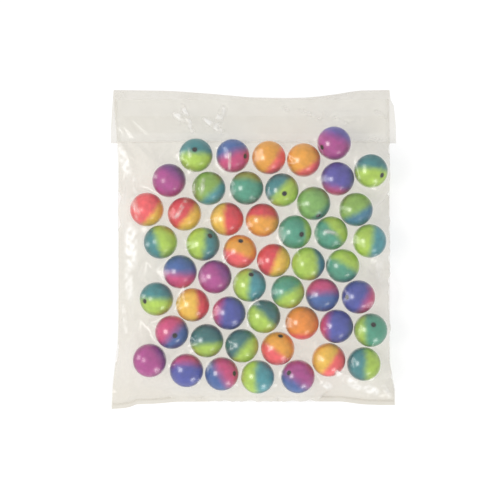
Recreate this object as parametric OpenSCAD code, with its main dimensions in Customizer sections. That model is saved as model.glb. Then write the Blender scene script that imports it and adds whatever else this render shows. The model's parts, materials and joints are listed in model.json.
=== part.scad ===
// A clear film bag lying on its back, filled with one layer of two-colour rubber balls.
// +Z up, +Y towards the folded mouth, origin at the bottom centre of the box round the bag.

/* [Balls] */
// Diameter of one ball
ball_d = 27; // [20:0.5:34]
// Least room between two balls in the bag
ball_gap = 0.3; // [0.2:0.05:0.6]
// Room between a ball's lowest point and the back film
ball_float = 0.3; // [0.1:0.05:0.5]
// Diameter of the moulding gate's mark
gate_d = 4.2; // [2:0.1:5]
// Depth of the gate's mark
gate_deep = 0.35; // [0.2:0.05:0.8]
// Width of the fine line where the mould's halves met
parting_w = 0.5; // [0.3:0.05:1]
// Depth of that line
parting_deep = 0.1; // [0.05:0.05:0.3]

/* [Bag] */
// Width of the flat bag
bag_w = 229.6; // [225:0.2:260]
// Height of the bag from its bottom corners to the fold at the mouth
bag_h = 257; // [255:1:300]
// Thickness of the film
film_t = 0.1; // [0.05:0.01:0.3]
// How far the filled bag draws its sides in
side_draw = 4.8; // [2:0.1:4.8]
// How far the bottom edge is drawn up between its corners
bottom_draw = 6.2; // [3:0.1:7]
// How far the mouth's fold sags between its corners
mouth_sag = 6.4; // [2:0.2:9]
// Height of the flap that is folded behind
flap_h = 43; // [30:1:60]

/* [Drape of the front film] */
// Room between the top of a ball and the film over it
drape_gap = 1.2; // [1:0.1:2]
// Slope of the film between neighbouring balls, in degrees
drape_slope = 15; // [8:1:25]
// Slope of the film beyond the outer balls, in degrees
fall_slope = 33; // [25:1:45]
// Steepest slope of the film beside a ball, in degrees
wall_slope = 60; // [55:1:66]
// Slope at which the film rises from the flat at the mouth, in degrees
mouth_slope = 40; // [30:1:55]

/* [Seals] */
// Width of the flat film inside each side weld
side_flange = 0.8; // [0.6:0.1:1]
// Height of the flat skirt along the bottom
skirt_h = 5; // [4:0.2:6]
// Length of the flat film inside the fold at the mouth
mouth_flat = 9; // [8:0.5:16]
// Width of the bottom weld
weld_w = 1.6; // [1:0.1:2.5]
// Height that the bottom weld stands up
weld_t = 0.15; // [0.1:0.05:0.3]
// Width of the melted bead along each side
bead_w = 0.7; // [0.5:0.05:0.8]
// Height of that bead
bead_t = 0.25; // [0.15:0.05:0.25]
// Height of the adhesive strip on the flap
strip_h = 14; // [8:1:24]
// Length of the adhesive strip
strip_w = 214; // [150:1:218]
// Thickness of the adhesive strip
strip_t = 0.05; // [0.03:0.01:0.1]

/* [Hidden] */
// Room between two layers of film
layer_gap = 0.05;
// Plan length of the steep foot of the front film's wall
wall_foot = 0.25;
// Plan length of the first cell inside the wall's foot
shoulder = 2.2;
// Plan room at the fold's hinge line
hinge_gap = 0.05;
// Length over which the back film steps up onto the flap
step_run = 4;
// Room between the flap's free edge and its adhesive strip
strip_margin = 8;
// Least length of front layer beyond the hinge line
fold_lip = 1;
// Radius at which the film rounds the fold
fold_round = 0.3;
// Overrun of a cut
over = 1;
// Share of the skirt's height at which the bottom weld lies
weld_share = 2 / 3;
// Width of a bar's top as a share of its foot
bar_top_share = 3 / 4;
// Places of the flap's inner rows, as shares of its run from the fold
flap_row_shares = [0.3, 0.7];

ball_r = ball_d / 2;
pitch = ball_d + ball_gap;
ball_z = film_t + ball_float + ball_r;
drape_r = ball_r + drape_gap;
// Beyond this distance from a ball's centre the film falls away
bed_reach = 0.6 * pitch;
y_top = bag_h / 2;
y_bottom = -bag_h / 2;
// The flap turns on the straight line through the lowest point of the sagging fold
y_hinge = y_top - mouth_sag - fold_lip;
z_over = film_t + strip_t + layer_gap;
z_front = z_over + film_t + layer_gap;
y_flap_end = y_top - flap_h;

// Columns and rows of the front film's net
cols = 48;
rows = 50;
back_cols = 10;

// Colour families of the rubber
violet_pink = 0;
teal_lime = 1;
coral_amber = 2;
family_names = ["violet_pink", "teal_lime", "coral_amber"];
family_colours = [[0.66, 0.31, 0.61], [0.36, 0.62, 0.52], [0.90, 0.49, 0.36]];

// Each ball's place, in shares of the pitch from the bag's centre, then its colours, the heading and the
// tilt from upright of its gate mark, in degrees, and for a ball beside a free space the heading of its
// travel and the travel's length as a share of the pitch. Zero travel means that it is hemmed in.
ball_shares = [
    [-1.69, 2.76, teal_lime, 98, 18, 100, 0.20],
    [-0.61, 2.74, violet_pink, -3, 50, 95, 0.20],
    [0.45, 2.69, coral_amber, 40, 130, 100, 0.20],
    [1.47, 2.62, coral_amber, 200, 120, 0, 0],
    [2.36, 3.11, violet_pink, 200, 53, 0, 0.25],
    [3.44, 2.30, teal_lime, -24, 44, 92, 0.15],
    [-2.47, 2.02, violet_pink, 60, 140, 150, 0.25],
    [-1.31, 1.79, teal_lime, 300, 110, 0, 0],
    [-0.20, 1.80, teal_lime, 20, 125, 0, 0],
    [0.83, 1.74, teal_lime, -58, 16, 0, 0],
    [2.46, 2.07, violet_pink, 150, 135, 0, 0],
    [1.76, 1.35, teal_lime, -70, 54, 0, 0],
    [3.00, 1.17, teal_lime, 250, 118, 40, 0.12],
    [-3.12, 1.17, coral_amber, 330, 128, 180, 0.18],
    [-2.02, 1.04, coral_amber, 90, 142, 0, 0],
    [-0.78, 0.89, coral_amber, 120, 115, 0, 0],
    [0.26, 0.86, coral_amber, 240, 132, 0, 0],
    [1.21, 0.51, teal_lime, -20, 25, 0, 0],
    [2.27, 0.48, teal_lime, 10, 124, 0, 0],
    [3.40, 0.25, teal_lime, 170, 138, 282, 0.12],
    [-2.72, 0.22, teal_lime, 280, 112, 200, 0.20],
    [-1.48, 0.16, teal_lime, 48, 42, 0, 0],
    [-0.40, -0.06, coral_amber, 85, 40, 0, 0],
    [0.59, -0.32, coral_amber, 140, 126, 0, 0],
    [1.60, -0.42, teal_lime, 220, 134, 0, 0],
    [2.61, -0.48, teal_lime, 320, 116, 0, 0],
    [-2.15, -0.65, violet_pink, 30, 140, 0, 0],
    [-1.13, -0.80, violet_pink, 110, 122, 0, 0],
    [-0.12, -1.04, teal_lime, 80, 41, 0, 0],
    [1.00, -1.24, teal_lime, 190, 130, 0, 0],
    [2.02, -1.33, violet_pink, 270, 113, 0, 0],
    [3.07, -1.39, violet_pink, 180, 46, 30, 0.25],
    [-2.84, -1.45, teal_lime, 190, 44, 160, 0.20],
    [-1.78, -1.62, coral_amber, 350, 127, 0, 0],
    [-0.72, -1.86, violet_pink, 70, 136, 0, 0],
    [0.30, -1.96, teal_lime, 160, 119, 0, 0],
    [1.42, -2.15, coral_amber, 230, 141, 0, 0],
    [2.43, -2.25, violet_pink, 310, 114, 0, 0],
    [3.43, -2.36, teal_lime, 70, 22, 0, 0],
    [-2.39, -2.42, violet_pink, -40, 16, 0, 0],
    [-1.37, -2.67, teal_lime, 15, 133, 0, 0],
    [-0.34, -2.82, teal_lime, 100, 117, 0, 0],
    [0.71, -2.90, coral_amber, 78, 53, 0, 0],
    [2.20, -3.23, coral_amber, 210, 129, 0, 0],
    [3.23, -3.35, teal_lime, 290, 121, 300, 0.15],
    [-3.04, -3.25, violet_pink, 45, 139, 150, 0.15],
    [-1.96, -3.54, violet_pink, 135, 111, 0, 0],
    [-0.93, -3.64, violet_pink, 4, 51, 0, 0],
    [0.12, -3.73, teal_lime, 260, 123, 0, 0],
    [1.30, -3.72, violet_pink, 155, 38, 0, 0]
];
ball_count = len(ball_shares);

function two_digits(n) = n < 10 ? str("0", n) : str(n);
function ball_name(i) = str("ball_", two_digits(i + 1), "_", family_names[ball_shares[i][2]]);
ball_names = [for (i = [0:ball_count - 1]) ball_name(i)];

// Share of the height from the bag's centre, and there the share of the full draw at that side
left_draw_shares = [[-0.50, 0], [-0.44, 0.12], [-0.38, 0.45], [-0.29, 1.05], [-0.20, 1.15], [0.28, 1.15],
    [0.36, 0.90], [0.43, 0.55], [0.50, 0.40]];
right_draw_shares = [[-0.50, 0.05], [-0.44, 0.12], [-0.40, 0.55], [-0.36, 0.95], [-0.30, 1], [0.30, 1],
    [0.42, 1.05], [0.50, 1.10]];
// The same for the flap, whose corners at the fold are drawn in
left_flap_shares = [[0.30, 0], [0.38, 0], [0.46, 0.25], [0.50, 0.45]];
right_flap_shares = [[0.30, 0], [0.42, 0], [0.45, 0.35], [0.47, 0.95], [0.50, 1.10]];
// Share of the width from the bag's centre, and there the share of the full draw or sag
bottom_draw_shares = [[-0.50, 0], [-0.44, 0.15], [-0.41, 0.62], [-0.34, 0.70], [-0.27, 0.95], [0, 1],
    [0.31, 0.98], [0.38, 0.62], [0.44, 0.52], [0.50, 0.52]];
mouth_sag_shares = [[-0.50, 0], [-0.30, 0.10], [-0.15, 0.45], [0.00, 0.92], [0.12, 1], [0.22, 0.95],
    [0.32, 0.55], [0.40, 0.08], [0.50, 0]];

bead_room = bead_w + layer_gap;
function left_edge(y) = -bag_w / 2 + bead_room + side_draw * lookup(y / bag_h, left_draw_shares);
function right_edge(y) = bag_w / 2 - bead_room - side_draw * lookup(y / bag_h, right_draw_shares);
function flap_left(y) = -bag_w / 2 + side_draw * lookup(y / bag_h, left_flap_shares);
function flap_right(y) = bag_w / 2 - side_draw * lookup(y / bag_h, right_flap_shares);
function bottom_edge(x) = y_bottom + bottom_draw * lookup(x / bag_w, bottom_draw_shares);
function fold_edge(x) = y_top - mouth_sag * lookup(x / bag_w, mouth_sag_shares);

// Height of the back film's underside, which steps up onto the flap
function step_share(y) = max(0, min(1, (y - (y_flap_end - step_run - layer_gap)) / step_run));
function back_z(y) = z_over * step_share(y);
function rim_z(y) = back_z(y) + film_t + layer_gap;

function heading(a) = [cos(a), sin(a)];
function rest_place(b) = [b[0] * pitch, b[1] * pitch];
function far_place(b) = rest_place(b) + b[6] * pitch * heading(b[5]);
rest_places = [for (b = ball_shares) rest_place(b)];
travels = [for (b = ball_shares) b[6] * pitch];
headings = [for (b = ball_shares) heading(b[5])];

// Distance from a point to the nearest place that a ball's centre takes in its travel
function along(p, i) = max(0, min(travels[i], (p - rest_places[i]) * headings[i]));
function ball_distance(p, i) = norm(p - rest_places[i] - along(p, i) * headings[i]);
function least_distance(p) = min([for (i = [0:ball_count - 1]) ball_distance(p, i)]);

// Height over a ball's centre of a film that lies on its top and leaves it at a slope
function lying(d, slope) = d < drape_r * sin(slope)
    ? sqrt(drape_r * drape_r - d * d)
    : drape_r / cos(slope) - d * tan(slope);
function falling(d) = lying(d, drape_slope)
    - max(0, d - bed_reach) * (tan(fall_slope) - tan(drape_slope));
wall_tan = tan(wall_slope);
mouth_tan = tan(mouth_slope);

// Height of the front film's underside at a point, kept low near the bag's edges but never below a ball
function ramp(p) = min((p[0] - left_edge(p[1]) - side_flange) * wall_tan,
    (right_edge(p[1]) - side_flange - p[0]) * wall_tan,
    (p[1] - bottom_edge(p[0]) - skirt_h) * wall_tan,
    (y_hinge - mouth_flat - p[1]) * mouth_tan);
function front_z(p) = let (d = least_distance(p), rim = rim_z(p[1]))
    max(rim, ball_z + lying(d, wall_slope), min(ball_z + falling(d), rim + ramp(p)));

// Places of the net's lines: the flange, the foot of the wall, then even steps
function from_side(c) = c == 0 ? 0 : c == 1 ? side_flange : side_flange + wall_foot;
function net_x(c, y) = let (a = left_edge(y), b = right_edge(y), inner = from_side(2) + shoulder)
    c < 3 ? a + from_side(c) : c > cols - 3 ? b - from_side(cols - c)
    : a + inner + (b - a - 2 * inner) * (c - 3) / (cols - 6);
full_run = y_hinge - hinge_gap - y_bottom;
function net_row(r) = let (foot = skirt_h + wall_foot, inner = foot + shoulder)
    r == 0 ? 0 : r == 1 ? skirt_h : r == 2 ? foot : r == rows ? full_run
    : inner + (full_run + hinge_gap - mouth_flat - inner) * (r - 3) / (rows - 4);
function net_y(r, x) = let (up = net_row(r))
    y_bottom + up + (bottom_edge(x) - y_bottom) * (r < 4 ? 1 : pow(1 - up / full_run, 3));
function is_rim(c, r) = c < 2 || c > cols - 2 || r < 2 || r > rows - 2;
function net_point(c, r) = let (x0 = net_x(c, y_bottom + net_row(r)), y = net_y(r, x0), x = net_x(c, y))
    [x, y, is_rim(c, r) ? rim_z(y) : front_z([x, y])];
function unit(v) = v / norm(v);
function front_normal(net, c, r) = unit(cross(net[r][c + 1] - net[r][c - 1], net[r + 1][c] - net[r - 1][c]));
// The rim is lifted straight up, and out at the foot of a wall, so that the wall keeps its thickness
function front_lift(net, c, r) = is_rim(c, r)
    ? film_t * [c == 1 ? -1 : c == cols - 1 ? 1 : 0, r == 1 ? -1 : 0, 1]
    : film_t * front_normal(net, c, r);

// A closed sheet between two nets of points with the same rows and columns
module sheet(under, over_it) {
    n = len(under[0]);
    m = len(under);
    base = n * m;
    rim = concat([for (c = [0:n - 1]) c], [for (r = [1:m - 1]) r * n + n - 1],
        [for (c = [n - 2:-1:0]) (m - 1) * n + c], [for (r = [m - 2:-1:1]) r * n]);
    last = len(rim) - 1;
    cells = [for (r = [0:m - 2], c = [0:n - 2]) [r * n + c, r * n + c + 1, r * n + n + c + 1, r * n + n + c]];
    lower = [for (q = cells) each [[q[0], q[1], q[2]], [q[0], q[2], q[3]]]];
    upper = [for (q = cells) each [[q[2] + base, q[1] + base, q[0] + base], [q[3] + base, q[2] + base, q[0] + base]]];
    edge = [for (i = [0:last]) let (a = rim[i], b = rim[i == last ? 0 : i + 1])
        each [[b, a, a + base], [b, a + base, b + base]]];
    polyhedron([for (row = under, p = row) p, for (row = over_it, p = row) p], concat(lower, upper, edge));
}

module front_film() {
    net = [for (r = [0:rows]) [for (c = [0:cols]) net_point(c, r)]];
    lifted = [for (r = [0:rows]) [for (c = [0:cols]) net[r][c] + front_lift(net, c, r)]];
    color([0.90, 0.89, 0.85, 0.45]) sheet(net, lifted);
}

module back_film() {
    under = [for (r = [0:rows]) [for (c = [0:back_cols])
        let (y0 = y_bottom + net_row(r), share = c / back_cols,
            x0 = left_edge(y0) + (right_edge(y0) - left_edge(y0)) * share, y1 = net_y(r, x0),
            y = r == rows ? y1 - film_t - bead_t : y1,
            x = left_edge(y) + (right_edge(y) - left_edge(y)) * share)
        [x, y, back_z(y)]]];
    raised = [for (row = under) [for (p = row) p + [0, 0, film_t]]];
    color([0.88, 0.87, 0.83, 0.45]) sheet(under, raised);
}

// The film that runs on from the front layer, round the fold and back under the bag
module flap_film() {
    turn = fold_round;
    // Each row: where it lies between the hinge line (0), the fold (1) and the flap's end (2), how far it
    // stays short of the fold, and its height, on the outside and on the inside of the film
    outer = [[0, 0, z_front + film_t], [1, turn, z_front + film_t], [1, 0, z_front - film_t / 2],
        [1, 0, film_t], [1, turn, 0], each [for (s = flap_row_shares) [1 + s, 0, 0]], [2, 0, 0]];
    inner = [[0, 0, z_front], [1, turn + film_t / 2, z_front], [1, film_t, z_front - film_t],
        [1, film_t, film_t + layer_gap], [1, turn + film_t / 2, film_t],
        each [for (s = flap_row_shares) [1 + s, 0, film_t]], [2, 0, film_t]];
    function row_y(k, x) = k[0] <= 1
        ? y_hinge + hinge_gap + (fold_edge(x) - y_hinge - hinge_gap) * k[0] - k[1]
        : fold_edge(x) + (y_flap_end - fold_edge(x)) * (k[0] - 1) - k[1];
    function at(k, share) = let (x0 = bag_w * (share - 1 / 2), y = row_y(k, x0))
        [flap_left(y) + (flap_right(y) - flap_left(y)) * share, y, k[2]];
    net_out = [for (k = outer) [for (c = [0:cols / 2]) at(k, c * 2 / cols)]];
    net_in = [for (k = inner) [for (c = [0:cols / 2]) at(k, c * 2 / cols)]];
    color([0.92, 0.91, 0.87, 0.45]) sheet(net_in, net_out);
}

module adhesive_strip() {
    color([0.95, 0.94, 0.88])
        translate([-strip_w / 2, y_flap_end + strip_margin, film_t]) cube([strip_w, strip_h, strip_t]);
}

// A bar with a flat foot that follows a list of points
module bar(points, w, t, across) {
    top = bar_top_share / 2;
    ring = [[-1 / 2, 0], [1 / 2, 0], [top, 1], [-top, 1]];
    n = len(ring);
    last = len(points) - 1;
    places = [for (p = points, q = ring) p + across * w * q[0] + [0, 0, t * q[1]]];
    sides = [for (k = [0:last - 1], i = [0:n - 1]) let (j = (i + 1) % n)
        each [[k * n + n + j, k * n + j, k * n + i], [k * n + n + i, k * n + n + j, k * n + i]]];
    ends = [[0, 1, 2], [0, 2, 3], [last * n + 2, last * n + 1, last * n], [last * n + 3, last * n + 2, last * n]];
    polyhedron(places, concat(sides, ends));
}

module bottom_weld() {
    start = left_edge(y_bottom) + side_flange;
    run = right_edge(y_bottom) - side_flange - start;
    points = [for (c = [0:cols]) let (x = start + run * c / cols)
        [x, bottom_edge(x) + (skirt_h + wall_foot) * weld_share, rim_z(y_bottom) + film_t]];
    color([0.80, 0.79, 0.74]) bar(points, weld_w, weld_t, [0, 1, 0]);
}

// One melted bead beside the edges of both films, on the left (-1) or the right (1)
module side_weld(side) {
    points = [for (r = [0:rows]) let (y = min(net_y(r, side * bag_w / 2), y_hinge - film_t - bead_t),
        edge = side < 0 ? left_edge(y) : right_edge(y))
        [edge + side * (bead_w / 2 + layer_gap), y, back_z(y)]];
    color([0.80, 0.79, 0.74]) bar(points, bead_w, bead_t, [-1, 0, 0]);
}
module left_side_weld() side_weld(-1);
module right_side_weld() side_weld(1);

// A moulded ball with its gate mark and the line of its mould
module ball(i) {
    b = ball_shares[i];
    place = rest_place(b);
    color(family_colours[b[2]])
        translate([place[0], place[1], ball_z])
            rotate([0, b[4], b[3]])
                difference() {
                    sphere(r = ball_r, $fn = 64);
                    translate([0, 0, ball_r - gate_deep]) cylinder(d = gate_d, h = gate_deep + over, $fn = 32);
                    rotate_extrude($fn = 64)
                        translate([ball_r + parting_w / 2 - parting_deep, 0]) circle(d = parting_w, $fn = 24);
                }
}

front_film();
back_film();
bottom_weld();
left_side_weld();
right_side_weld();
flap_film();
adhesive_strip();
for (i = [0:ball_count - 1]) ball(i);
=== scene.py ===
import bmesh
import bpy
import json
import math
import numpy as np
import time
from mathutils import Euler, Matrix, Vector, noise


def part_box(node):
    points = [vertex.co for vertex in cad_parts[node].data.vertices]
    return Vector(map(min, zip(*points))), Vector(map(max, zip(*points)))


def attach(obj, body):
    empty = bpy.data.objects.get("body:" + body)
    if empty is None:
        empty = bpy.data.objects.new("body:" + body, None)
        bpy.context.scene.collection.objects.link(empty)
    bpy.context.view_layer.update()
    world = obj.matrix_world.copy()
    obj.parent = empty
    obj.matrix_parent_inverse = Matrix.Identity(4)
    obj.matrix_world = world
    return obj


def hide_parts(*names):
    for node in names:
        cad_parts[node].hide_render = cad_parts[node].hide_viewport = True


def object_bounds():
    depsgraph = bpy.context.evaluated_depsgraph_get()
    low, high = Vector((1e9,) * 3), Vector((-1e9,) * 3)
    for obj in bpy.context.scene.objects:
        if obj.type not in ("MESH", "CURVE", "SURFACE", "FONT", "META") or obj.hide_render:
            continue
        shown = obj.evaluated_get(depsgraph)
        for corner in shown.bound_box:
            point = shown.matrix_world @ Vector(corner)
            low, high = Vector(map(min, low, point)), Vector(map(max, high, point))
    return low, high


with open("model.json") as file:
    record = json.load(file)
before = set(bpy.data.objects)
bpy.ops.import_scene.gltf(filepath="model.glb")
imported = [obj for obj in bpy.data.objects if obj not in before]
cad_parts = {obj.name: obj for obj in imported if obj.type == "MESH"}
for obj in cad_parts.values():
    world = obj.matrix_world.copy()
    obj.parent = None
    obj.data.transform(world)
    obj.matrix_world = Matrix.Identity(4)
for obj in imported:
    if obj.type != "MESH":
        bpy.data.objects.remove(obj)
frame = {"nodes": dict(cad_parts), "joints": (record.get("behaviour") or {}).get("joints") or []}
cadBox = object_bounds()
print("frame loaded:", len(frame["nodes"]), "CAD nodes")

mm = 0.001
ballNodes = sorted(n for n in frame["nodes"] if n.startswith("ball_"))


# shared helpers

def cadPoints(node):
    co = np.array([v.co for v in frame["nodes"][node].data.vertices])
    return np.unique(co.round(7), axis=0)


def lineAlong(points, axis, pick):  # one value for each step along an axis, such as an edge's x at each y
    steps = np.unique(points[:, axis].round(6))
    other = 1 - axis
    return steps, np.array([pick(points[abs(points[:, axis] - s) < 2e-6, other]) for s in steps])


def meshPiece(name, verts, faces, material, smooth=True):
    mesh = bpy.data.meshes.new(name)
    mesh.from_pydata([tuple(v) for v in verts], [], [tuple(f) for f in faces])
    mesh.validate()
    mesh.polygons.foreach_set("use_smooth", [smooth] * len(mesh.polygons))
    mesh.materials.append(material)
    piece = bpy.data.objects.new(name, mesh)
    bpy.context.scene.collection.objects.link(piece)
    return piece


def plainMesh(obj, name):  # what the modifiers make, as a mesh of its own
    evaluated = obj.evaluated_get(bpy.context.evaluated_depsgraph_get())
    mesh = bpy.data.meshes.new_from_object(evaluated)
    mesh.name = name
    return mesh


def setInput(modifier, tree, label, value):
    for item in tree.interface.items_tree:
        if item.item_type == "SOCKET" and item.in_out == "INPUT" and item.name == label:
            modifier[item.identifier] = value
            return
    raise ValueError("the tree has no input named " + label)


def addNode(tree, kind, label=None, **settings):
    node = tree.nodes.new(kind)
    for key, value in settings.items():
        setattr(node, key, value)
    if label:
        node.label = label
    return node


def wire(tree, source, target):
    tree.links.new(source, target)


def setSockets(node, **values):  # a socket's name without its spaces
    for socket in node.inputs:
        if socket.name.replace(" ", "") in values and socket.enabled:
            socket.default_value = values[socket.name.replace(" ", "")]


def noiseTexture(tree, place, label, size, detail=2.0, twist=0.0):
    texture = addNode(tree, "ShaderNodeTexNoise", label)
    setSockets(texture, Scale=size, Detail=detail, Distortion=twist)
    wire(tree, place.outputs["Object"], texture.inputs["Vector"])
    return texture.outputs["Fac"]


def noiseBetween(tree, texture, low, high):  # nearly all of a noise lies between 0.3 and 0.7
    stretch = addNode(tree, "ShaderNodeMapRange")
    wire(tree, texture, stretch.inputs["Value"])
    setSockets(stretch, FromMin=0.3, FromMax=0.7, ToMin=low, ToMax=high)
    return stretch.outputs["Result"]


def bumpFrom(tree, texture, strength, height):
    bump = addNode(tree, "ShaderNodeBump")
    setSockets(bump, Strength=strength, Distance=height)
    wire(tree, texture, bump.inputs["Height"])
    return bump.outputs["Normal"]


def fromDisplay(r, g, b):  # a colour as a screen shows it, 0 to 255, as the shader's linear one
    shares = (r / 255, g / 255, b / 255)
    return tuple(c / 12.92 if c <= 0.04045 else ((c + 0.055) / 1.055) ** 2.4 for c in shares)


# the rubber of the balls: two dyes that run into each other

rubber = {
    "roughness": 0.28,
    "coat": 0.12,
    "coatRoughness": 0.12,
    "blendWidth": {"violet_pink": 0.80, "teal_lime": 0.56, "coral_amber": 0.46},  # share of the radius
    "swirlSize": 95.0,
    "swirlDepth": 0.30,
    "swirlTwist": 1.4,
    "cloudSize": 209.0,
    "cloudLight": (0.86, 1.12),  # the thinnest and the strongest dye, as shares of its colour
    # painted shade: the gate's shallow pit is real geometry, and its near-black colour is painted shade
    "gateColour": (0.012, 0.012, 0.016, 1),
    "grainSize": 2400.0,
    "grainStrength": 0.05,
    "grainHeight": 0.1 * mm,
}


def rubberMaterial(name, blend):
    material = bpy.data.materials.new(name)
    material.use_nodes = True
    tree = material.node_tree
    tree.nodes.clear()
    out = addNode(tree, "ShaderNodeOutputMaterial")
    skin = addNode(tree, "ShaderNodeBsdfPrincipled")
    setSockets(skin, Roughness=rubber["roughness"], SpecularIORLevel=0.5, CoatWeight=rubber["coat"],
               CoatRoughness=rubber["coatRoughness"])
    place = addNode(tree, "ShaderNodeTexCoord")
    share = addNode(tree, "ShaderNodeAttribute", attribute_name="dyeShare")
    first = addNode(tree, "ShaderNodeAttribute", attribute_name="firstDye")
    second = addNode(tree, "ShaderNodeAttribute", attribute_name="secondDye")
    gate = addNode(tree, "ShaderNodeAttribute", attribute_name="gateShade")
    swirl = noiseTexture(tree, place, "swirl where the dyes meet", rubber["swirlSize"], 4.0,
                         rubber["swirlTwist"])
    shift = addNode(tree, "ShaderNodeMath", operation="MULTIPLY_ADD")
    wire(tree, swirl, shift.inputs[0])
    shift.inputs[1].default_value = rubber["swirlDepth"]
    shift.inputs[2].default_value = -rubber["swirlDepth"] / 2
    moved = addNode(tree, "ShaderNodeMath", operation="ADD")
    wire(tree, share.outputs["Fac"], moved.inputs[0])
    wire(tree, shift.outputs[0], moved.inputs[1])
    edge = addNode(tree, "ShaderNodeMapRange", interpolation_type="SMOOTHSTEP")
    wire(tree, moved.outputs[0], edge.inputs["Value"])
    setSockets(edge, FromMin=-blend / 2, FromMax=blend / 2)
    dyes = addNode(tree, "ShaderNodeMix", data_type="RGBA")
    wire(tree, edge.outputs["Result"], dyes.inputs["Factor"])
    wire(tree, first.outputs["Color"], dyes.inputs["A"])
    wire(tree, second.outputs["Color"], dyes.inputs["B"])
    cloud = noiseTexture(tree, place, "uneven dye", rubber["cloudSize"], 3.0)
    uneven = addNode(tree, "ShaderNodeVectorMath", operation="SCALE")
    wire(tree, dyes.outputs["Result"], uneven.inputs[0])
    wire(tree, noiseBetween(tree, cloud, *rubber["cloudLight"]), uneven.inputs["Scale"])
    # painted shade: the rubber is mixed towards near-black inside the gate's pit
    gatePitShading = addNode(tree, "ShaderNodeMix", data_type="RGBA")
    wire(tree, gate.outputs["Fac"], gatePitShading.inputs["Factor"])
    wire(tree, uneven.outputs["Vector"], gatePitShading.inputs["A"])
    setSockets(gatePitShading, B=rubber["gateColour"])
    wire(tree, gatePitShading.outputs["Result"], skin.inputs["Base Color"])
    grain = noiseTexture(tree, place, "moulded grain", rubber["grainSize"])
    wire(tree, bumpFrom(tree, grain, rubber["grainStrength"], rubber["grainHeight"]), skin.inputs["Normal"])
    wire(tree, skin.outputs["BSDF"], out.inputs["Surface"])
    return material


rubberMaterials = {f: rubberMaterial("rubber" + f.title().replace("_", ""), blend)
                   for f, blend in rubber["blendWidth"].items()}

ball = {
    "radius": 13.5 * mm,
    "gateDiameter": 4.2 * mm,
    "gateDepth": 0.35 * mm,
    "lineWidth": 0.5 * mm,
    "lineDepth": 0.1 * mm,
    "segments": 72,
    "rings": 60,
    "mergeGap": 0.01 * mm,
}

dyes = {  # as the photo's light shows them
    "teal": (63, 138, 146), "deepTeal": (56, 116, 120), "seaGreen": (79, 160, 136),
    "skyTeal": (74, 156, 170), "skyBlue": (62, 128, 164), "lime": (178, 213, 86), "olive": (150, 168, 76),
    "leaf": (132, 184, 102), "moss": (144, 186, 88), "blue": (64, 102, 170), "dusk": (78, 88, 174),
    "violet": (90, 84, 174), "purple": (116, 60, 146), "magenta": (178, 72, 150), "pink": (210, 74, 132),
    "coral": (247, 98, 106), "red": (226, 70, 84), "orange": (240, 146, 56), "amber": (240, 168, 62),
    "gold": (244, 196, 78),
}

# for each ball in node order: the gate mark's heading and tilt, its two dyes, the heading and the lift of
# the second dye's side, and how far from the centre the dyes meet, as a share of the radius
ballLooks = [
    (98, 18, "teal", "lime", 270, 6, 0.0), (-3, 50, "blue", "pink", 290, 10, 0.02),
    (40, 130, "amber", "coral", 325, -10, 0.22), (200, 120, "amber", "coral", 302, -10, 0.32),
    (200, 53, "magenta", "violet", 66, -8, 0.28), (-24, 44, "teal", "lime", 264, 5, -0.04),
    (60, 140, "magenta", "purple", 58, -10, 0.32), (300, 110, "moss", "skyTeal", 314, -10, 0.16),
    (20, 125, "olive", "seaGreen", 262, 10, -0.36), (-58, 16, "teal", "lime", 318, 5, -0.05),
    (150, 135, "violet", "pink", 256, -8, 0.48), (-70, 54, "leaf", "teal", 318, -15, 0.46),
    (250, 118, "moss", "skyBlue", 298, -4, 0.12), (330, 128, "coral", "gold", 322, -10, 0.26),
    (90, 142, "red", "gold", 322, 0, 0.22), (120, 115, "gold", "red", 2, 8, 0.0),
    (240, 132, "red", "amber", 266, 5, -0.12), (-20, 25, "seaGreen", "lime", 5, -15, 0.42),
    (10, 124, "seaGreen", "lime", 40, -4, 0.10), (170, 138, "lime", "skyTeal", 352, -5, 0.05),
    (280, 112, "teal", "lime", 18, 0, -0.16), (48, 42, "lime", "teal", -8, -6, 0.05),
    (85, 40, "amber", "coral", 250, 5, 0.20), (140, 126, "red", "gold", 338, 0, 0.08),
    (220, 134, "lime", "skyBlue", 4, -12, 0.34), (320, 116, "lime", "seaGreen", 242, 4, -0.06),
    (30, 140, "blue", "pink", 266, 0, 0.14), (110, 122, "magenta", "purple", 32, -12, 0.26),
    (80, 41, "lime", "skyTeal", -4, 4, 0.05), (190, 130, "seaGreen", "lime", 302, 0, 0.04),
    (270, 113, "pink", "blue", 272, 8, -0.06), (180, 46, "dusk", "pink", 335, -10, 0.28),
    (190, 44, "teal", "lime", 268, 2, 0.0), (350, 127, "gold", "red", 0, -8, 0.18),
    (70, 136, "pink", "dusk", 352, 14, -0.32), (160, 119, "deepTeal", "lime", 226, 6, 0.0),
    (230, 141, "orange", "coral", 272, -20, 0.40), (310, 114, "pink", "dusk", 355, 14, -0.36),
    (70, 22, "lime", "seaGreen", 4, 6, -0.28), (-40, 16, "pink", "blue", 318, 0, 0.08),
    (15, 133, "deepTeal", "lime", 276, -5, 0.10), (100, 117, "deepTeal", "lime", 320, 4, 0.14),
    (78, 53, "amber", "coral", 236, 2, 0.18), (210, 129, "gold", "coral", 326, -4, 0.10),
    (290, 121, "teal", "lime", 0, 0, 0.08), (45, 139, "magenta", "purple", 30, -16, 0.44),
    (135, 111, "pink", "dusk", 270, 12, -0.26), (4, 51, "blue", "pink", 32, 4, 0.0),
    (260, 123, "lime", "skyTeal", 0, 6, 0.0), (155, 38, "magenta", "blue", 236, 0, 0.26),
]


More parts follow.
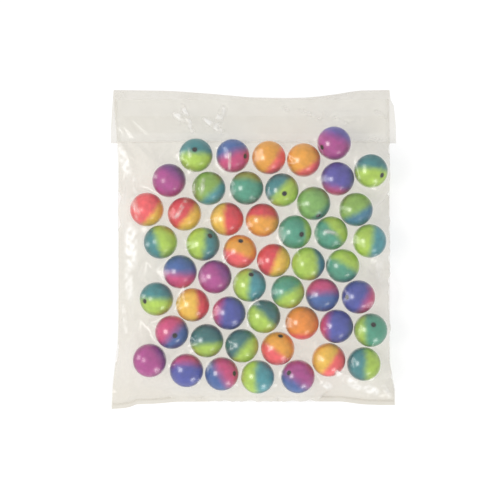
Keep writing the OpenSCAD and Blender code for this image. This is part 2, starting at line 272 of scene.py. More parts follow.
def ballTree():
    tree = bpy.data.node_groups.new("mouldedBall", "GeometryNodeTree")
    face = tree.interface
    for label, kind in (("Radius", "NodeSocketFloat"), ("Gate Diameter", "NodeSocketFloat"),
                        ("Gate Depth", "NodeSocketFloat"), ("Line Width", "NodeSocketFloat"),
                        ("Line Depth", "NodeSocketFloat"), ("Segments", "NodeSocketInt"),
                        ("Rings", "NodeSocketInt"), ("Turn", "NodeSocketVector"),
                        ("Place", "NodeSocketVector"), ("Dye Way", "NodeSocketVector"),
                        ("Dye Shift", "NodeSocketFloat"),
                        ("First Dye", "NodeSocketColor"), ("Second Dye", "NodeSocketColor"),
                        ("Rubber", "NodeSocketMaterial")):
        face.new_socket(label, in_out="INPUT", socket_type=kind)
    face.new_socket("Geometry", in_out="OUTPUT", socket_type="NodeSocketGeometry")
    given = addNode(tree, "NodeGroupInput").outputs
    out = addNode(tree, "NodeGroupOutput")

    def calc(operation, a, b=None, c=None):
        node = addNode(tree, "ShaderNodeMath", operation=operation)
        for socket, value in zip(node.inputs, (a, b, c)):
            if value is None:
                continue
            if isinstance(value, (int, float)):
                socket.default_value = value
            else:
                wire(tree, value, socket)
        return node.outputs[0]

    grid = addNode(tree, "GeometryNodeMeshGrid")
    setSockets(grid, SizeX=1, SizeY=1)
    wire(tree, given["Segments"], grid.inputs["Vertices X"])
    wire(tree, given["Rings"], grid.inputs["Vertices Y"])
    place = addNode(tree, "GeometryNodeInputPosition")
    parts = addNode(tree, "ShaderNodeSeparateXYZ")
    wire(tree, place.outputs[0], parts.inputs[0])
    around = calc("MULTIPLY", calc("ADD", parts.outputs["X"], 0.5), 2 * math.pi)
    rings = addNode(tree, "ShaderNodeFloatCurve", "rings crowd at the gate and the mould line")
    curve = rings.mapping.curves[0]
    # the share of the rings, and the share of the way from the gate to the far pole that they reach
    for at, to in ((0.07, 0.030), (0.10, 0.0375), (0.13, 0.043), (0.45, 0.4915), (0.5, 0.5), (0.55, 0.5085),
                   (0.80, 0.86)):
        curve.points.new(at, to)
    for point in curve.points:
        point.handle_type = "VECTOR"
    rings.mapping.update()
    wire(tree, calc("SUBTRACT", 0.5, parts.outputs["Y"]), rings.inputs["Value"])
    down = calc("MULTIPLY", rings.outputs[0], math.pi)
    outward = calc("MULTIPLY", calc("SINE", down), given["Radius"])
    up = calc("MULTIPLY", calc("COSINE", down), given["Radius"])
    nearLine = calc("DIVIDE", calc("ABSOLUTE", up), calc("MULTIPLY", given["Line Width"], 0.5))
    groove = addNode(tree, "ShaderNodeMapRange", interpolation_type="SMOOTHSTEP")
    wire(tree, nearLine, groove.inputs["Value"])
    setSockets(groove, FromMin=1.0, FromMax=0.2)
    reach = calc("SUBTRACT", outward, calc("MULTIPLY", groove.outputs[0], given["Line Depth"]))
    gateShare = calc("DIVIDE", outward, calc("MULTIPLY", given["Gate Diameter"], 0.5))
    pit = addNode(tree, "ShaderNodeMapRange", interpolation_type="SMOOTHSTEP")
    wire(tree, gateShare, pit.inputs["Value"])
    setSockets(pit, FromMin=1.02, FromMax=0.88)  # the rim's slope, as shares of the gate's radius
    upper = calc("GREATER_THAN", up, 0.0)
    pitShare = calc("MULTIPLY", pit.outputs[0], upper)
    sunk = calc("SUBTRACT", up, calc("MULTIPLY", pitShare, given["Gate Depth"]))
    built = addNode(tree, "ShaderNodeCombineXYZ")
    wire(tree, calc("MULTIPLY", reach, calc("COSINE", around)), built.inputs["X"])
    wire(tree, calc("MULTIPLY", reach, calc("SINE", around)), built.inputs["Y"])
    wire(tree, sunk, built.inputs["Z"])
    # how far each point lies in the gate's pit, kept for the painted shade there
    keepGate = addNode(tree, "GeometryNodeStoreNamedAttribute", data_type="FLOAT", domain="POINT")
    keepGate.inputs["Name"].default_value = "gateShade"
    wire(tree, grid.outputs["Mesh"], keepGate.inputs["Geometry"])
    wire(tree, pitShare, keepGate.inputs["Value"])
    turned = addNode(tree, "ShaderNodeVectorRotate", rotation_type="EULER_XYZ")
    wire(tree, built.outputs[0], turned.inputs["Vector"])
    wire(tree, given["Turn"], turned.inputs["Rotation"])
    setPlace = addNode(tree, "GeometryNodeSetPosition")
    wire(tree, keepGate.outputs["Geometry"], setPlace.inputs["Geometry"])
    wire(tree, turned.outputs["Vector"], setPlace.inputs["Position"])
    merge = addNode(tree, "GeometryNodeMergeByDistance")
    merge.inputs["Distance"].default_value = ball["mergeGap"]
    wire(tree, setPlace.outputs["Geometry"], merge.inputs["Geometry"])
    along = addNode(tree, "ShaderNodeVectorMath", operation="DOT_PRODUCT")
    here = addNode(tree, "GeometryNodeInputPosition")
    wire(tree, here.outputs[0], along.inputs[0])
    wire(tree, given["Dye Way"], along.inputs[1])
    dyeShare = calc("SUBTRACT", calc("DIVIDE", along.outputs["Value"], given["Radius"]), given["Dye Shift"])
    geometry = merge.outputs["Geometry"]
    for name, kind, value in (("dyeShare", "FLOAT", dyeShare),
                              ("firstDye", "FLOAT_COLOR", given["First Dye"]),
                              ("secondDye", "FLOAT_COLOR", given["Second Dye"])):
        keep = addNode(tree, "GeometryNodeStoreNamedAttribute", data_type=kind, domain="POINT")
        keep.inputs["Name"].default_value = name
        wire(tree, geometry, keep.inputs["Geometry"])
        wire(tree, value, next(s for s in keep.inputs if s.name == "Value" and s.enabled))
        geometry = keep.outputs["Geometry"]
    move = addNode(tree, "GeometryNodeTransform")
    wire(tree, geometry, move.inputs["Geometry"])
    wire(tree, given["Place"], move.inputs["Translation"])
    smooth = addNode(tree, "GeometryNodeSetShadeSmooth")
    wire(tree, move.outputs["Geometry"], smooth.inputs["Geometry"])
    real = addNode(tree, "GeometryNodeRealizeInstances")
    wire(tree, smooth.outputs["Geometry"], real.inputs["Geometry"])
    finish = addNode(tree, "GeometryNodeSetMaterial")
    wire(tree, real.outputs["Geometry"], finish.inputs["Geometry"])
    wire(tree, given["Rubber"], finish.inputs["Material"])
    wire(tree, finish.outputs["Geometry"], out.inputs["Geometry"])
    return tree


mouldedBall = ballTree()
ballPlaces = {}
for node, (heading, tilt, firstDye, secondDye, way, lift, share) in zip(ballNodes, ballLooks):
    low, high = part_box(node)
    place = (low + high) / 2
    ballPlaces[node] = place
    family = node.split("_", 2)[2]
    maker = bpy.data.objects.new(node + "_maker", bpy.data.meshes.new("maker"))
    bpy.context.scene.collection.objects.link(maker)
    modifier = maker.modifiers.new("ball", "NODES")
    modifier.node_group = mouldedBall
    way, lift = math.radians(way), math.radians(lift)
    for label, value in (
            ("Radius", ball["radius"]), ("Gate Diameter", ball["gateDiameter"]),
            ("Gate Depth", ball["gateDepth"]), ("Line Width", ball["lineWidth"]),
            ("Line Depth", ball["lineDepth"]),
            ("Segments", ball["segments"] + 1), ("Rings", ball["rings"] + 1),
            ("Turn", (0.0, math.radians(tilt), math.radians(heading))), ("Place", tuple(place)),
            ("Dye Way", (math.cos(way) * math.cos(lift), math.sin(way) * math.cos(lift), math.sin(lift))),
            ("Dye Shift", share), ("First Dye", fromDisplay(*dyes[firstDye]) + (1.0,)),
            ("Second Dye", fromDisplay(*dyes[secondDye]) + (1.0,)), ("Rubber", rubberMaterials[family])):
        setInput(modifier, mouldedBall, label, value)
    mesh = plainMesh(maker, node + "_skin")
    bpy.data.objects.remove(maker)
    piece = bpy.data.objects.new(node.replace("ball_", "rubber_ball_"), mesh)
    bpy.context.scene.collection.objects.link(piece)
    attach(piece, "_".join(node.split("_")[:2]))
    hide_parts(node)
print("balls made:", len(ballPlaces), "each of", len(mesh.polygons), "faces")


# the clear film of the bag

film = {
    "thickness": 0.1 * mm,
    "layerGap": 0.05 * mm,
    "stripThickness": 0.05 * mm,
    "flangeWidth": 0.8 * mm,
    "skirtHeight": 5.0 * mm,
    "mouthFlat": 9.0 * mm,
    "stepRun": 4.0 * mm,
    "drapeGap": 1.2 * mm,
    "drapeSlope": 15,
    "fallSlope": 33,
    "fallStart": 0.6,  # it steepens this many ball diameters from a ball's centre
    "wallSlope": 60,
    "mouthSlope": 40,
    "foldHeight": 0.30 * mm,  # where the CAD's fold has its crest line
    "foldBand": 0.01 * mm,
    "belowWeld": 0.7,  # share of the skirt that lies below the bottom weld
    "columns": 141,
    "rows": 157,
    "backColumns": 90,
    "backRows": 100,
}

leftWeld = lineAlong(cadPoints("left_side_weld"), 1, max)
rightWeld = lineAlong(cadPoints("right_side_weld"), 1, min)
bottomWeld = lineAlong(cadPoints("bottom_weld"), 0, np.mean)
flapPoints = cadPoints("flap_film")
foldLine = flapPoints[abs(flapPoints[:, 2] - film["foldHeight"]) < film["foldBand"]]
foldLine = foldLine[np.argsort(foldLine[:, 0])]
hinge = next(j for j in frame["joints"] if j["type"] == "hinge" and not j.get("continuous"))
hingeY = hinge["pos_m"][1] - film["layerGap"]
bottomY = cadBox[0][1]
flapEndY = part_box("flap_film")[0][1]


def leftEdge(y):
    return np.interp(y, *leftWeld) + film["layerGap"]


def rightEdge(y):
    return np.interp(y, *rightWeld) - film["layerGap"]


def bottomEdge(x):
    return np.interp(x, *bottomWeld) - film["skirtHeight"] * film["belowWeld"]


def foldEdge(x):
    return np.interp(x, foldLine[:, 0], foldLine[:, 1])


def backHeight(y):  # the back film steps up onto the folded flap
    over = film["thickness"] + film["stripThickness"] + film["layerGap"]
    return over * np.clip((y - (flapEndY - film["stepRun"] - film["layerGap"])) / film["stepRun"], 0, 1)


def rimHeight(y):
    return backHeight(y) + film["thickness"] + film["layerGap"]


travels = {}
for joint in frame["joints"]:
    if joint["type"] == "slide":
        travels[joint["child"]] = np.array(joint["axis"])[:2] * joint["range_m"][1]
centres = np.array([ballPlaces[n][:2] for n in ballNodes])
moves = np.array([travels.get("_".join(n.split("_")[:2]), np.zeros(2)) for n in ballNodes])
ballHeight = float(np.mean([ballPlaces[n][2] for n in ballNodes]))


# in plan, from each point to the nearest place that each ball's centre takes, the nearest ball first
def ballDistances(x, y, moving=1):
    found = []
    for centre, move in zip(centres, moves * moving):
        long = move @ move
        dx, dy = x - centre[0], y - centre[1]
        share = np.clip((dx * move[0] + dy * move[1]) / long, 0, 1) if long > 0 else 0
        found.append(np.hypot(dx - share * move[0], dy - share * move[1]))
    return np.sort(found, axis=0)


def nearestBall(x, y, moving=1):
    return ballDistances(x, y, moving)[0]


def lying(d, slope):  # a ball's dome and the slope that leaves it, above its centre
    r, a = ball["radius"] + film["drapeGap"], math.radians(slope)
    dome = np.sqrt(np.maximum(r * r - d * d, 0))
    return np.where(d < r * math.sin(a), dome, r / math.cos(a) - d * math.tan(a))


def frontHeight(x, y):
    d = nearestBall(x, y)
    drapes, falls, wall, mouth = (math.tan(math.radians(film[k]))
                                  for k in ("drapeSlope", "fallSlope", "wallSlope", "mouthSlope"))
    reach = film["fallStart"] * 2 * ball["radius"]
    falling = lying(d, film["drapeSlope"]) - np.maximum(0, d - reach) * (falls - drapes)
    rim = rimHeight(y)
    ramp = np.minimum.reduce([
        (x - leftEdge(y) - film["flangeWidth"]) * wall,
        (rightEdge(y) - film["flangeWidth"] - x) * wall,
        (y - bottomEdge(x) - film["skirtHeight"]) * wall,
        (hingeY - film["mouthFlat"] - y) * mouth])
    return np.maximum.reduce([rim, ballHeight + lying(d, film["wallSlope"]),
                              np.minimum(ballHeight + falling, rim + ramp)])


filmLook = {
    "tint": (0.966, 0.960, 0.941),  # what one layer lets through
    "haze": 0.035,  # share that scatters where the film lies tight on a ball
    "looseHaze": 0.49,  # share that scatters where the film lies on no ball
    "milk": (0.700, 0.662, 0.586),
    "whiteHaze": 0.9,  # share that scatters where a white glint is painted along a crinkle
    # painted highlight: the near-white milk that stands in for the lamps' glints on the crinkles
    "whiteMilk": (0.98, 0.975, 0.96),
    "milkRoughness": 0.5,
    "milkShine": 0.2,
    "cloudSize": 60.0,
    "cloudLight": (0.88, 1.14),  # the clearest and the cloudiest film, as shares of its haze
    "gloss": 0.23,
    "mirror": 0.04,  # share that the film mirrors when it is seen square on
    "mirrorPower": 5.0,  # how late the mirror grows as the film is seen from the side
    "creaseSize": 120.0,
    "creaseTwist": 0.6,
    "creaseStrength": 0.12,
    "creaseDepth": 0.6 * mm,
}
weldLook = {**filmLook, "tint": (0.990, 0.988, 0.982), "haze": 0.06, "looseHaze": 0.06, "creaseSize": 1100.0,
            "gloss": 0.25, "mirror": 0.01}
flapLook = {**filmLook, "tint": (0.998, 0.996, 0.990)}
glueLook = {**filmLook, "tint": (0.998, 0.997, 0.992), "haze": 0.012, "looseHaze": 0.012, "mirror": 0.0,
            "gloss": 0.5, "creaseSize": 500.0}


def clearFilm(name, look):
    material = bpy.data.materials.new(name)
    material.use_nodes = True
    tree = material.node_tree
    tree.nodes.clear()
    out = addNode(tree, "ShaderNodeOutputMaterial")
    place = addNode(tree, "ShaderNodeTexCoord")
    cloud = noiseTexture(tree, place, "cloudy film", look["cloudSize"], 5.0)
    loose = addNode(tree, "ShaderNodeAttribute", attribute_name="looseShare")
    level = addNode(tree, "ShaderNodeMapRange", clamp=False)
    wire(tree, loose.outputs["Fac"], level.inputs["Value"])
    setSockets(level, ToMin=look["haze"], ToMax=look["looseHaze"])
    scatter = addNode(tree, "ShaderNodeMath", operation="MULTIPLY", use_clamp=True)
    wire(tree, noiseBetween(tree, cloud, *look["cloudLight"]), scatter.inputs[0])
    wire(tree, level.outputs["Result"], scatter.inputs[1])
    crease = noiseTexture(tree, place, "fine creases", look["creaseSize"], 2.0, look["creaseTwist"])
    bump = bumpFrom(tree, crease, look["creaseStrength"], look["creaseDepth"])
    clear = addNode(tree, "ShaderNodeBsdfTransparent")
    setSockets(clear, Color=look["tint"] + (1,))
    # painted highlight: along the crinkles the film is mixed towards near-white milk, a glint painted in
    paintedGlintAttribute = addNode(tree, "ShaderNodeAttribute", attribute_name="paintedGlintShare")
    share = addNode(tree, "ShaderNodeMix", data_type="FLOAT")
    wire(tree, paintedGlintAttribute.outputs["Fac"], share.inputs["Factor"])
    wire(tree, scatter.outputs[0], share.inputs["A"])
    setSockets(share, B=look["whiteHaze"])
    milk = addNode(tree, "ShaderNodeMix", data_type="RGBA")
    wire(tree, paintedGlintAttribute.outputs["Fac"], milk.inputs["Factor"])
    setSockets(milk, A=look["milk"] + (1,), B=look["whiteMilk"] + (1,))
    milky = addNode(tree, "ShaderNodeBsdfPrincipled")
    wire(tree, milk.outputs["Result"], milky.inputs["Base Color"])
    setSockets(milky, Roughness=look["milkRoughness"], SpecularIORLevel=look["milkShine"])
    wire(tree, bump, milky.inputs["Normal"])
    body = addNode(tree, "ShaderNodeMixShader")
    wire(tree, share.outputs["Result"], body.inputs["Fac"])
    wire(tree, clear.outputs["BSDF"], body.inputs[1])
    wire(tree, milky.outputs["BSDF"], body.inputs[2])
    gloss = addNode(tree, "ShaderNodeBsdfGlossy")
    setSockets(gloss, Roughness=look["gloss"])
    wire(tree, bump, gloss.inputs["Normal"])
    facing = addNode(tree, "ShaderNodeLayerWeight")  # the same share from either side of the film
    wire(tree, bump, facing.inputs["Normal"])
    power = addNode(tree, "ShaderNodeMath", operation="POWER")
    wire(tree, facing.outputs["Facing"], power.inputs[0])
    power.inputs[1].default_value = look["mirrorPower"]
    mirror = addNode(tree, "ShaderNodeMapRange")
    wire(tree, power.outputs[0], mirror.inputs["Value"])
    setSockets(mirror, ToMin=look["mirror"])
    both = addNode(tree, "ShaderNodeMixShader")
    wire(tree, mirror.outputs["Result"], both.inputs["Fac"])
    wire(tree, body.outputs["Shader"], both.inputs[1])
    wire(tree, gloss.outputs["BSDF"], both.inputs[2])
    wire(tree, both.outputs["Shader"], out.inputs["Surface"])
    return material


frontMaterial = clearFilm("frontFilmClear", filmLook)
backMaterial = clearFilm("backFilmClear", filmLook)
flapMaterial = clearFilm("flapFilmClear", flapLook)
weldMaterial = clearFilm("weldedFilmHazy", weldLook)
glueMaterial = clearFilm("tackyStrip", glueLook)


def gridFaces(rows, columns):
    return [(r * columns + c, r * columns + c + 1, (r + 1) * columns + c + 1, (r + 1) * columns + c)
            for r in range(rows - 1) for c in range(columns - 1)]


def bagGrid(columns, rows):  # plan places between the bag's edges
    share = np.linspace(0, 1, columns)[None, :]
    up = np.linspace(0, 1, rows)[:, None]
    y = bottomY + (hingeY - bottomY) * up + 0 * share
    for _ in range(3):  # the rows follow the drawn-up bottom edge and straighten towards the mouth
        x = leftEdge(y) + (rightEdge(y) - leftEdge(y)) * share
        y = bottomY + (hingeY - bottomY) * up + (bottomEdge(x) - bottomY) * (1 - up) ** 3
    return x, y


drape = {
    "scale": 20,  # the simulation runs at this scale, because cloth collides at a millimetre or more
    "frames": 14,
    "heldGap": 0.02 * mm,  # film that starts this near to the rim stays where it is
    "room": 1.0 * mm,  # between a ball and the middle of the film
    "tautRoom": 0.3 * mm,  # more of it for the stretched film that the cloth starts from
    "leastRoom": 0.7 * mm,  # what is left at the end
    "slack": 0.008,
    "tautRuns": 1400,
    "puff": 0.004 * mm,  # how far the air lifts each point above its neighbours' mean
    "sag": 0.075 * mm,  # how far it hangs below them between the balls
    "sagSize": 22 * mm,
    "sagUneven": (0.75, 1.6, 0.1, 1.6),  # usual share, how much it varies, least and most
    "sagReach": 1.5,  # it hangs where a second ball's centre is nearer than this share of the radius
    "sagRun": 0.25,
    "weight": 0.2,  # share of gravity, because the air in the bag carries most of the film
    "ripple": 0.35 * mm,
    "rippleSize": 14 * mm,
    "quality": 6,
    "mass": 0.25,
    "tension": 28,
    "shear": 9,
    "bending": 0.6,
    "airDrag": 2.0,
    "friction": 12,
    "touch": 0.002,  # at the simulation's scale
    "hullSteps": 4,  # balls that stand for one travel
    "hullDetail": 4,
}


def tautHeight(x, y, z, held):  # stretched over the balls as a tight skin is, with a little air under it
    d, second = ballDistances(x, y)[:2]
    room = ball["radius"] + drape["room"] + drape["tautRoom"]
    carried = np.where(d < room, ballHeight + np.sqrt(np.maximum(room * room - d * d, 0)), 0)
    usual, varies, least, most = drape["sagUneven"]
    uneven = [noise.noise(Vector((a, b, 0)) / drape["sagSize"]) for a, b in zip(x.ravel(), y.ravel())]
    sag = drape["sag"] * np.clip(usual + varies * np.reshape(uneven, x.shape), least, most)
    between = np.clip((drape["sagReach"] - second / ball["radius"]) / drape["sagRun"], 0, 1)
    push = (drape["puff"] - (drape["puff"] + sag) * between)[1:-1, 1:-1]
    for _ in range(drape["tautRuns"]):
        mean = (z[:-2, 1:-1] + z[2:, 1:-1] + z[1:-1, :-2] + z[1:-1, 2:]) / 4 + push
        z[1:-1, 1:-1] = np.where(held[1:-1, 1:-1], z[1:-1, 1:-1], np.maximum(mean, carried[1:-1, 1:-1]))
    return z


def finer(grid):  # twice as many steps each way, on a smooth curve through the points
    for _ in range(2):
        ends = np.concatenate([2 * grid[:1] - grid[1:2], grid, 2 * grid[-1:] - grid[-2:-1]])
        between = (9 * (ends[1:-2] + ends[2:-1]) - ends[:-3] - ends[3:]) / 16
        full = np.empty((2 * len(grid) - 1,) + grid.shape[1:])
        full[::2], full[1::2] = grid, between
        grid = full.swapaxes(0, 1)
    return grid


def travelHulls(room):  # a ball for each centre, drawn out along its travel, joined into one mesh
    hulls = bmesh.new()
    for centre, move in zip(centres, moves):
        steps = drape["hullSteps"] if move.any() else 1
        for k in range(steps):
            spot = centre + move * (k / max(1, steps - 1))
            made = bmesh.ops.create_icosphere(hulls, subdivisions=drape["hullDetail"],
                                              radius=ball["radius"] + room)
            bmesh.ops.translate(hulls, vec=(spot[0], spot[1], ballHeight), verts=made["verts"])
    mesh = bpy.data.meshes.new("travel_hulls")
    hulls.to_mesh(mesh)
    hulls.free()
    return mesh


def drapedPoints(points, held, faces):  # lets the film settle on the balls under its own weight
    k = drape["scale"]
    cloth = meshPiece("film_cloth", points * k, faces, frontMaterial)
    heldGroup = cloth.vertex_groups.new(name="held")
    heldGroup.add([int(i) for i in np.nonzero(held)[0]], 1.0, "REPLACE")
    hulls = bpy.data.objects.new("travel_hulls", travelHulls(drape["room"]))
    hulls.data.transform(Matrix.Scale(k, 4))
    bpy.context.scene.collection.objects.link(hulls)
    hulls.modifiers.new("hit", "COLLISION")
    hulls.collision.thickness_outer = drape["touch"]
    hulls.collision.cloth_friction = drape["friction"]
    modifier = cloth.modifiers.new("drape", "CLOTH")
    settings = modifier.settings
    settings.quality = drape["quality"]
    settings.mass = drape["mass"]
    settings.tension_stiffness = settings.compression_stiffness = drape["tension"]
    settings.shear_stiffness = drape["shear"]
    settings.bending_stiffness = drape["bending"]
    settings.air_damping = drape["airDrag"]
    settings.shrink_min = -drape["slack"]
    settings.vertex_group_mass = "held"
    settings.effector_weights.gravity = drape["weight"]
    modifier.collision_settings.distance_min = drape["touch"]
    modifier.collision_settings.use_self_collision = False
    modifier.point_cache.frame_end = drape["frames"]
    for f in range(1, drape["frames"] + 1):
        bpy.context.scene.frame_set(f)
    settled = plainMesh(cloth, "settled_film")
    co = np.empty(len(settled.vertices) * 3)
    settled.vertices.foreach_get("co", co)
    bpy.data.objects.remove(cloth)
    bpy.data.objects.remove(hulls)
    bpy.data.meshes.remove(settled)
    bpy.context.scene.frame_set(1)
    return co.reshape(-1, 3) / k


# crinkles in the film, each from one place to another in mm, with its half width, its height and how strong
# the white glint is that is painted along it
creases = [
    (-63.6, 109.2, -56.4, 104.4, 3.2, 1.0, 0.8), (-57.2, 116.0, -48.4, 94.0, 2.8, 1.1, 0.9),
    (-39.6, 105.2, -25.2, 94.0, 3.0, 1.1, 0.9), (-24.4, 113.2, -29.2, 100.4, 4.0, 1.2, 0.8),
    (23.6, 115.0, 27.6, 112.0, 2.0, 0.5, 0.4), (37.2, 113.0, 54.6, 104.0, 2.4, 0.7, 0.35),
    (57.2, 109.2, 75.6, 100.4, 2.4, 0.7, 0.3), (92.0, 88.4, 102.0, 87.2, 2.2, 0.8, 0.5),
    (98.0, 111.6, 108.8, 104.6, 2.2, 0.8, 0.4), (-112.0, 86.4, -108.4, 85.2, 2.4, 0.5, 0.9),
    (-107.6, 81.0, -101.0, 62.0, 4.6, 1.3, 0.8), (-95.4, 57.6, -94.0, 46.0, 2.2, 0.8, 0.5),
    (-98.0, 16.8, -98.4, -11.6, 6.4, 1.8, 0.9), (-100.4, -16.0, -99.2, -38.0, 4.4, 1.2, 0.55),
    (-104.6, -45.2, -102.2, -66.8, 2.2, 0.9, 0.4), (100.0, -10.0, 101.6, -22.0, 4.6, 0.9, 0.5),
    (56.0, -107.0, 61.2, -110.4, 3.6, 1.1, 0.7), (66.6, -97.4, 69.0, -100.6, 3.0, 0.8, 0.8),
    (73.6, -103.0, 84.0, -110.4, 4.2, 1.2, 0.9), (89.6, -111.0, 98.4, -114.0, 4.2, 0.9, 0.9),
    (104.0, -110.0, 109.6, -118.0, 2.6, 0.7, 0.5), (-42.8, -119.4, 73.2, -119.6, 1.7, 0.4, 0.12),
    (-51.2, 79.6, -50.4, 74.8, 2.2, 0.8, 0.35), (-48.0, 63.6, -52.0, 59.6, 1.8, 0.7, 0.2),
    (-18.8, 78.4, -19.2, 64.0, 1.8, 0.8, 0.5), (-40.0, 55.6, -41.2, 44.0, 2.4, 0.8, 0.4),
    (-46.2, 53.6, -46.8, 44.0, 1.6, 0.6, 0.25), (-95.6, 40.0, -91.2, 24.4, 3.4, 1.1, 0.4),
    (-54.4, 38.0, -62.4, 24.0, 2.4, 0.9, 0.45), (57.6, 14.4, 66.0, 12.0, 2.4, 0.8, 0.5),
]


creaseLook = {
    "ends": 0.5,  # share that a crinkle loses towards its ends
    "mouthClear": 0.5 * mm,  # how far it reaches into the flat film at the mouth
    "mouthRun": 2 * mm,
    "torn": (0.74, 1.2),  # usual strength of the painted glint and how much it varies along the crinkle
    "tornSize": 0.0042,
    "whiteRun": 2,  # how fast the painted glint grows from a crinkle's edge
}


def strokes(x, y):  # each crinkle's share at each place, from none at its edges to all on its ridge
    for x0, y0, x1, y1, half, high, glintPaint in creases:
        a, b = np.array([x0, y0]) * mm, np.array([x1, y1]) * mm
        way = b - a
        share = np.clip(((x - a[0]) * way[0] + (y - a[1]) * way[1]) / (way @ way), 0, 1)
        d = np.hypot(x - a[0] - share * way[0], y - a[1] - share * way[1]) / (half * mm)
        yield np.clip(1 - d, 0, 1) * (1 - creaseLook["ends"] * np.abs(2 * share - 1) ** 3), high * mm, glintPaint


def creaseHeight(x, y):
    height = np.maximum.reduce([share * high for share, high, glintPaint in strokes(x, y)])
    last = hingeY - film["mouthFlat"] + creaseLook["mouthClear"]
    return height * np.clip((last - y) / creaseLook["mouthRun"], 0, 1)


# painted highlight: how strongly a white glint is painted at each place along the crinkles
def paintedCreaseGlint(x, y):
    usual, varies = creaseLook["torn"]
    places = zip(x.ravel(), y.ravel())
    torn = [usual + varies * noise.noise(Vector((a, b, 0)) / creaseLook["tornSize"]) for a, b in places]
    glintPaint = np.maximum.reduce([np.clip(creaseLook["whiteRun"] * share, 0, 1) * glintPaint
                               for share, high, glintPaint in strokes(x, y)])
    return glintPaint * np.clip(np.reshape(torn, x.shape), 0, 1)


def clearOfBalls(points, room):  # pushes each point out of the balls' travels
    for centre, move in zip(centres, moves):
        long = move @ move
        flat = points[:, :2] - centre
        share = np.clip(flat @ move / long, 0, 1) if long > 0 else np.zeros(len(points))
        nearest = np.column_stack([centre + share[:, None] * move, np.full(len(points), ballHeight)])
        away = points - nearest
        distance = np.linalg.norm(away, axis=1)
        close = distance < ball["radius"] + room
        points[close] = nearest[close] + away[close] / distance[close, None] * (ball["radius"] + room)
    return points


def keepAttribute(mesh, name, values):
    attribute = mesh.attributes.new(name, "FLOAT", "POINT")
    attribute.data.foreach_set("value", np.asarray(values, np.float32).ravel())


hazy = {  # how loose the film lies, from clear at none to hazy at all
    "tightReach": 0.93,  # nearer to a ball's centre than this share of its radius the film is tight
    "tightRun": 0.14,
    "flapTakes": 0.94,  # share of the front's haze that the flap behind it takes over
    "flapRun": 2 * mm,
    "gathered": 0.30,  # more haze towards the bottom weld, which makes the film darker there
    "gatheredHeight": 18 * mm,
    "gatheredRun": 6 * mm,
    "back": 0.12,  # below the flap, which has a haze of its own
    "flap": 0.34,
    "flapEnds": 0.46,  # more haze where the flap sticks out beside the bag
    "flapEndRun": 3 * mm,
    "fold": 0.62,
}


def frontFilm():
    x, y = bagGrid(film["columns"], film["rows"])
    z = frontHeight(x, y) + film["thickness"] / 2
    rim = rimHeight(y) + film["thickness"] / 2
    held = z < rim + drape["heldGap"]
    z = tautHeight(x, y, z, held)
    places = np.stack([x, y, z], axis=-1).reshape(-1, 3)
    lift = [noise.noise(Vector(p) / drape["rippleSize"]) for p in places]
    start = np.stack([x, y, z + np.abs(np.reshape(lift, x.shape)) * drape["ripple"] * ~held], axis=-1)
    began = time.time()
    points = drapedPoints(start.reshape(-1, 3), held.ravel(), gridFaces(film["rows"], film["columns"]))
    print("film draped in", round(time.time() - began, 1), "s")
    x, y, z = np.moveaxis(finer(points.reshape(film["rows"], film["columns"], 3)), -1, 0)
    z = z + creaseHeight(x, y)
    points = np.stack([x, y, z], axis=-1).reshape(-1, 3)
    points = clearOfBalls(points, drape["leastRoom"])
    lowest = rimHeight(points[:, 1]) + film["thickness"] / 2
    points[:, 2] = np.clip(points[:, 2], lowest, cadBox[1][2] - film["thickness"] / 2)
    piece = meshPiece("front_panel", points, gridFaces(*x.shape), frontMaterial)
    reach = nearestBall(points[:, 0], points[:, 1], moving=0) / ball["radius"]
    loose = np.clip((reach - hazy["tightReach"]) / hazy["tightRun"], 0, 1)
    loose *= 1 - hazy["flapTakes"] * np.clip((points[:, 1] - flapEndY) / hazy["flapRun"], 0, 1)
    low = hazy["gatheredHeight"] - points[:, 1] + bottomY
    loose *= 1 + hazy["gathered"] * np.clip(low / hazy["gatheredRun"], 0, 1)
    keepAttribute(piece.data, "looseShare", loose)
    # the painted highlight along the crinkles
    keepAttribute(piece.data, "paintedGlintShare", paintedCreaseGlint(points[:, 0], points[:, 1]))
    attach(piece, "bag")
    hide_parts("front_film")
    return piece


def backFilm():
    x, y = bagGrid(film["backColumns"], film["backRows"])
    z = backHeight(y) + film["thickness"] / 2
    points = np.stack([x, y, z], axis=-1).reshape(-1, 3)
    faces = [f[::-1] for f in gridFaces(*x.shape)]
    piece = meshPiece("back_panel", points, faces, backMaterial)
    keepAttribute(piece.data, "looseShare", np.where(points[:, 1] > flapEndY, 0, hazy["back"]))
    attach(piece, "bag")
    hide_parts("back_film")
    return piece


flap = {
    "columns": 130,
    "stripRows": 9,
    "underRows": 34,
    "roundRadius": 0.25 * mm,
    "roundRows": 7,
    "hingeGap": 0.02 * mm,  # between the front panel's last row and the flap's first
    "endBand": 6 * mm,  # the CAD's points this near to an end give its outline
}
leftFlap = flapPoints[flapPoints[:, 0] < flapPoints[:, 0].min() + flap["endBand"]][:, 1::-1]
rightFlap = flapPoints[flapPoints[:, 0] > flapPoints[:, 0].max() - flap["endBand"]][:, 1::-1]
leftFlap, rightFlap = leftFlap[np.argsort(leftFlap[:, 0])], rightFlap[np.argsort(rightFlap[:, 0])]


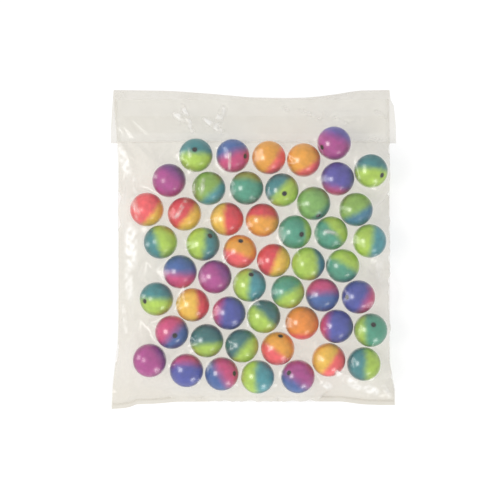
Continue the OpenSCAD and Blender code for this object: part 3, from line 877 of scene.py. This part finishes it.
def flapFilm():  # on from the front panel, round the fold and back under the bag
    half = film["thickness"] / 2
    low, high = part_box("flap_film")
    top = high[2] - half
    share = np.linspace(0, 1, flap["columns"])
    fold = foldEdge(low[0] + (high[0] - low[0]) * share) - half
    start = hingeY + flap["hingeGap"]
    r = flap["roundRadius"]
    rows = []
    for k in np.linspace(0, 1, flap["stripRows"]):
        rows.append((start + (fold - r - start) * k, top + 0 * share))
    for a in np.linspace(0, math.pi, flap["roundRows"])[1:-1]:
        middle, height = (top + half) / 2, (top - half) / 2
        rows.append((fold - r + r * math.sin(a), middle + height * math.cos(a) + 0 * share))
    for k in np.linspace(0, 1, flap["underRows"]):
        rows.append((fold - r + (flapEndY - fold + r) * k, half + 0 * share))
    points = []
    for y, z in rows:
        left = np.interp(y, leftFlap[:, 0], leftFlap[:, 1])
        right = np.interp(y, rightFlap[:, 0], rightFlap[:, 1])
        points.append(np.stack([left + (right - left) * share, y, z], axis=-1))
    points = np.concatenate(points)
    piece = meshPiece("folded_flap", points, gridFaces(len(rows), flap["columns"]), flapMaterial)
    x, y, z = points.T
    inside = np.minimum(x - leftEdge(y), rightEdge(y) - x) / hazy["flapEndRun"]
    behind = hazy["flap"] + hazy["flapEnds"] * np.clip(1 - inside, 0, 1)
    keepAttribute(piece.data, "looseShare", np.where(y < hingeY, behind, hazy["fold"]))
    # the painted highlight along the crinkles, on the flap's upper layer
    keepAttribute(piece.data, "paintedGlintShare", np.where(z > top / 2, paintedCreaseGlint(x, y), 0))
    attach(piece, "flap")
    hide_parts("flap_film")
    return piece


front = frontFilm()
back = backFilm()
folded = flapFilm()
for node, material in (("left_side_weld", weldMaterial), ("right_side_weld", weldMaterial),
                       ("bottom_weld", weldMaterial), ("adhesive_strip", glueMaterial)):
    frame["nodes"][node].data.materials.clear()
    frame["nodes"][node].data.materials.append(material)
print("panels made:", len(front.data.polygons), "faces")


# stage, lights and camera

view = {
    "middle": (-2.8 * mm, -0.4 * mm),
    "width": 400 * mm,
    "lens": 170,
    "sensor": 36,
    "focusHeight": 13 * mm,
}

studio = {
    "floorSize": 6.0,
    "floorColour": (0.30, 0.30, 0.30),
    "floorRoughness": 0.9,
    "floorGlow": 0.73,  # lit from below, as a light table is
    "floorDrop": 0.02 * mm,
    "air": 0.71,
    "softboxes": (  # name, heading, tilt from straight above, distance, size, power, tint
        ("leftSoftbox", 180, 42, 1.1, 0.45, 5.4, (1.0, 0.985, 0.96)),
        ("lowLamp", -61, 76, 1.0, 0.34, 2.4, (1.0, 0.99, 0.97))),
    "clearLayers": 32,  # the flap, the strip and both films lie over each other
}


def standingPlane(name):
    material = bpy.data.materials.new(name)
    material.use_nodes = True
    setSockets(material.node_tree.nodes["Principled BSDF"], BaseColor=studio["floorColour"] + (1,),
               Roughness=studio["floorRoughness"], EmissionColor=(1, 1, 1, 1),
               EmissionStrength=studio["floorGlow"])
    half = studio["floorSize"] / 2
    plane = meshPiece(name, [(-half, -half, 0), (half, -half, 0), (half, half, 0), (-half, half, 0)],
                      [(0, 1, 2, 3)], material, smooth=False)
    plane.location.z = -studio["floorDrop"]


def softbox(name, heading, tilt, distance, size, power, tint):
    data = bpy.data.lights.new(name, "AREA")
    data.shape = "RECTANGLE"
    data.size = data.size_y = size
    data.energy = power
    data.color = tint
    lamp = bpy.data.objects.new(name, data)
    bpy.context.scene.collection.objects.link(lamp)
    a, t = math.radians(heading), math.radians(tilt)
    way = Vector((math.sin(t) * math.cos(a), math.sin(t) * math.sin(a), math.cos(t)))
    lamp.location = way * distance
    lamp.rotation_euler = way.to_track_quat("Z", "Y").to_euler()


standingPlane("studio_floor")
for values in studio["softboxes"]:
    softbox(*values)

world = bpy.data.worlds.new("studioAir")
bpy.context.scene.world = world
world.use_nodes = True
setSockets(world.node_tree.nodes["Background"], Color=(1.0, 1.0, 1.0, 1), Strength=studio["air"])

cameraData = bpy.data.cameras.new("camera")
cameraData.lens = view["lens"]
cameraData.sensor_width = view["sensor"]
camera = bpy.data.objects.new("camera", cameraData)
bpy.context.scene.collection.objects.link(camera)
away = view["width"] * view["lens"] / view["sensor"]
camera.location = (view["middle"][0], view["middle"][1], view["focusHeight"] + away)
camera.rotation_euler = Euler((0, 0, 0))
bpy.context.scene.camera = camera
bpy.context.scene.view_settings.view_transform = "Standard"
bpy.context.scene.cycles.transparent_max_bounces = studio["clearLayers"]
print("stage set")
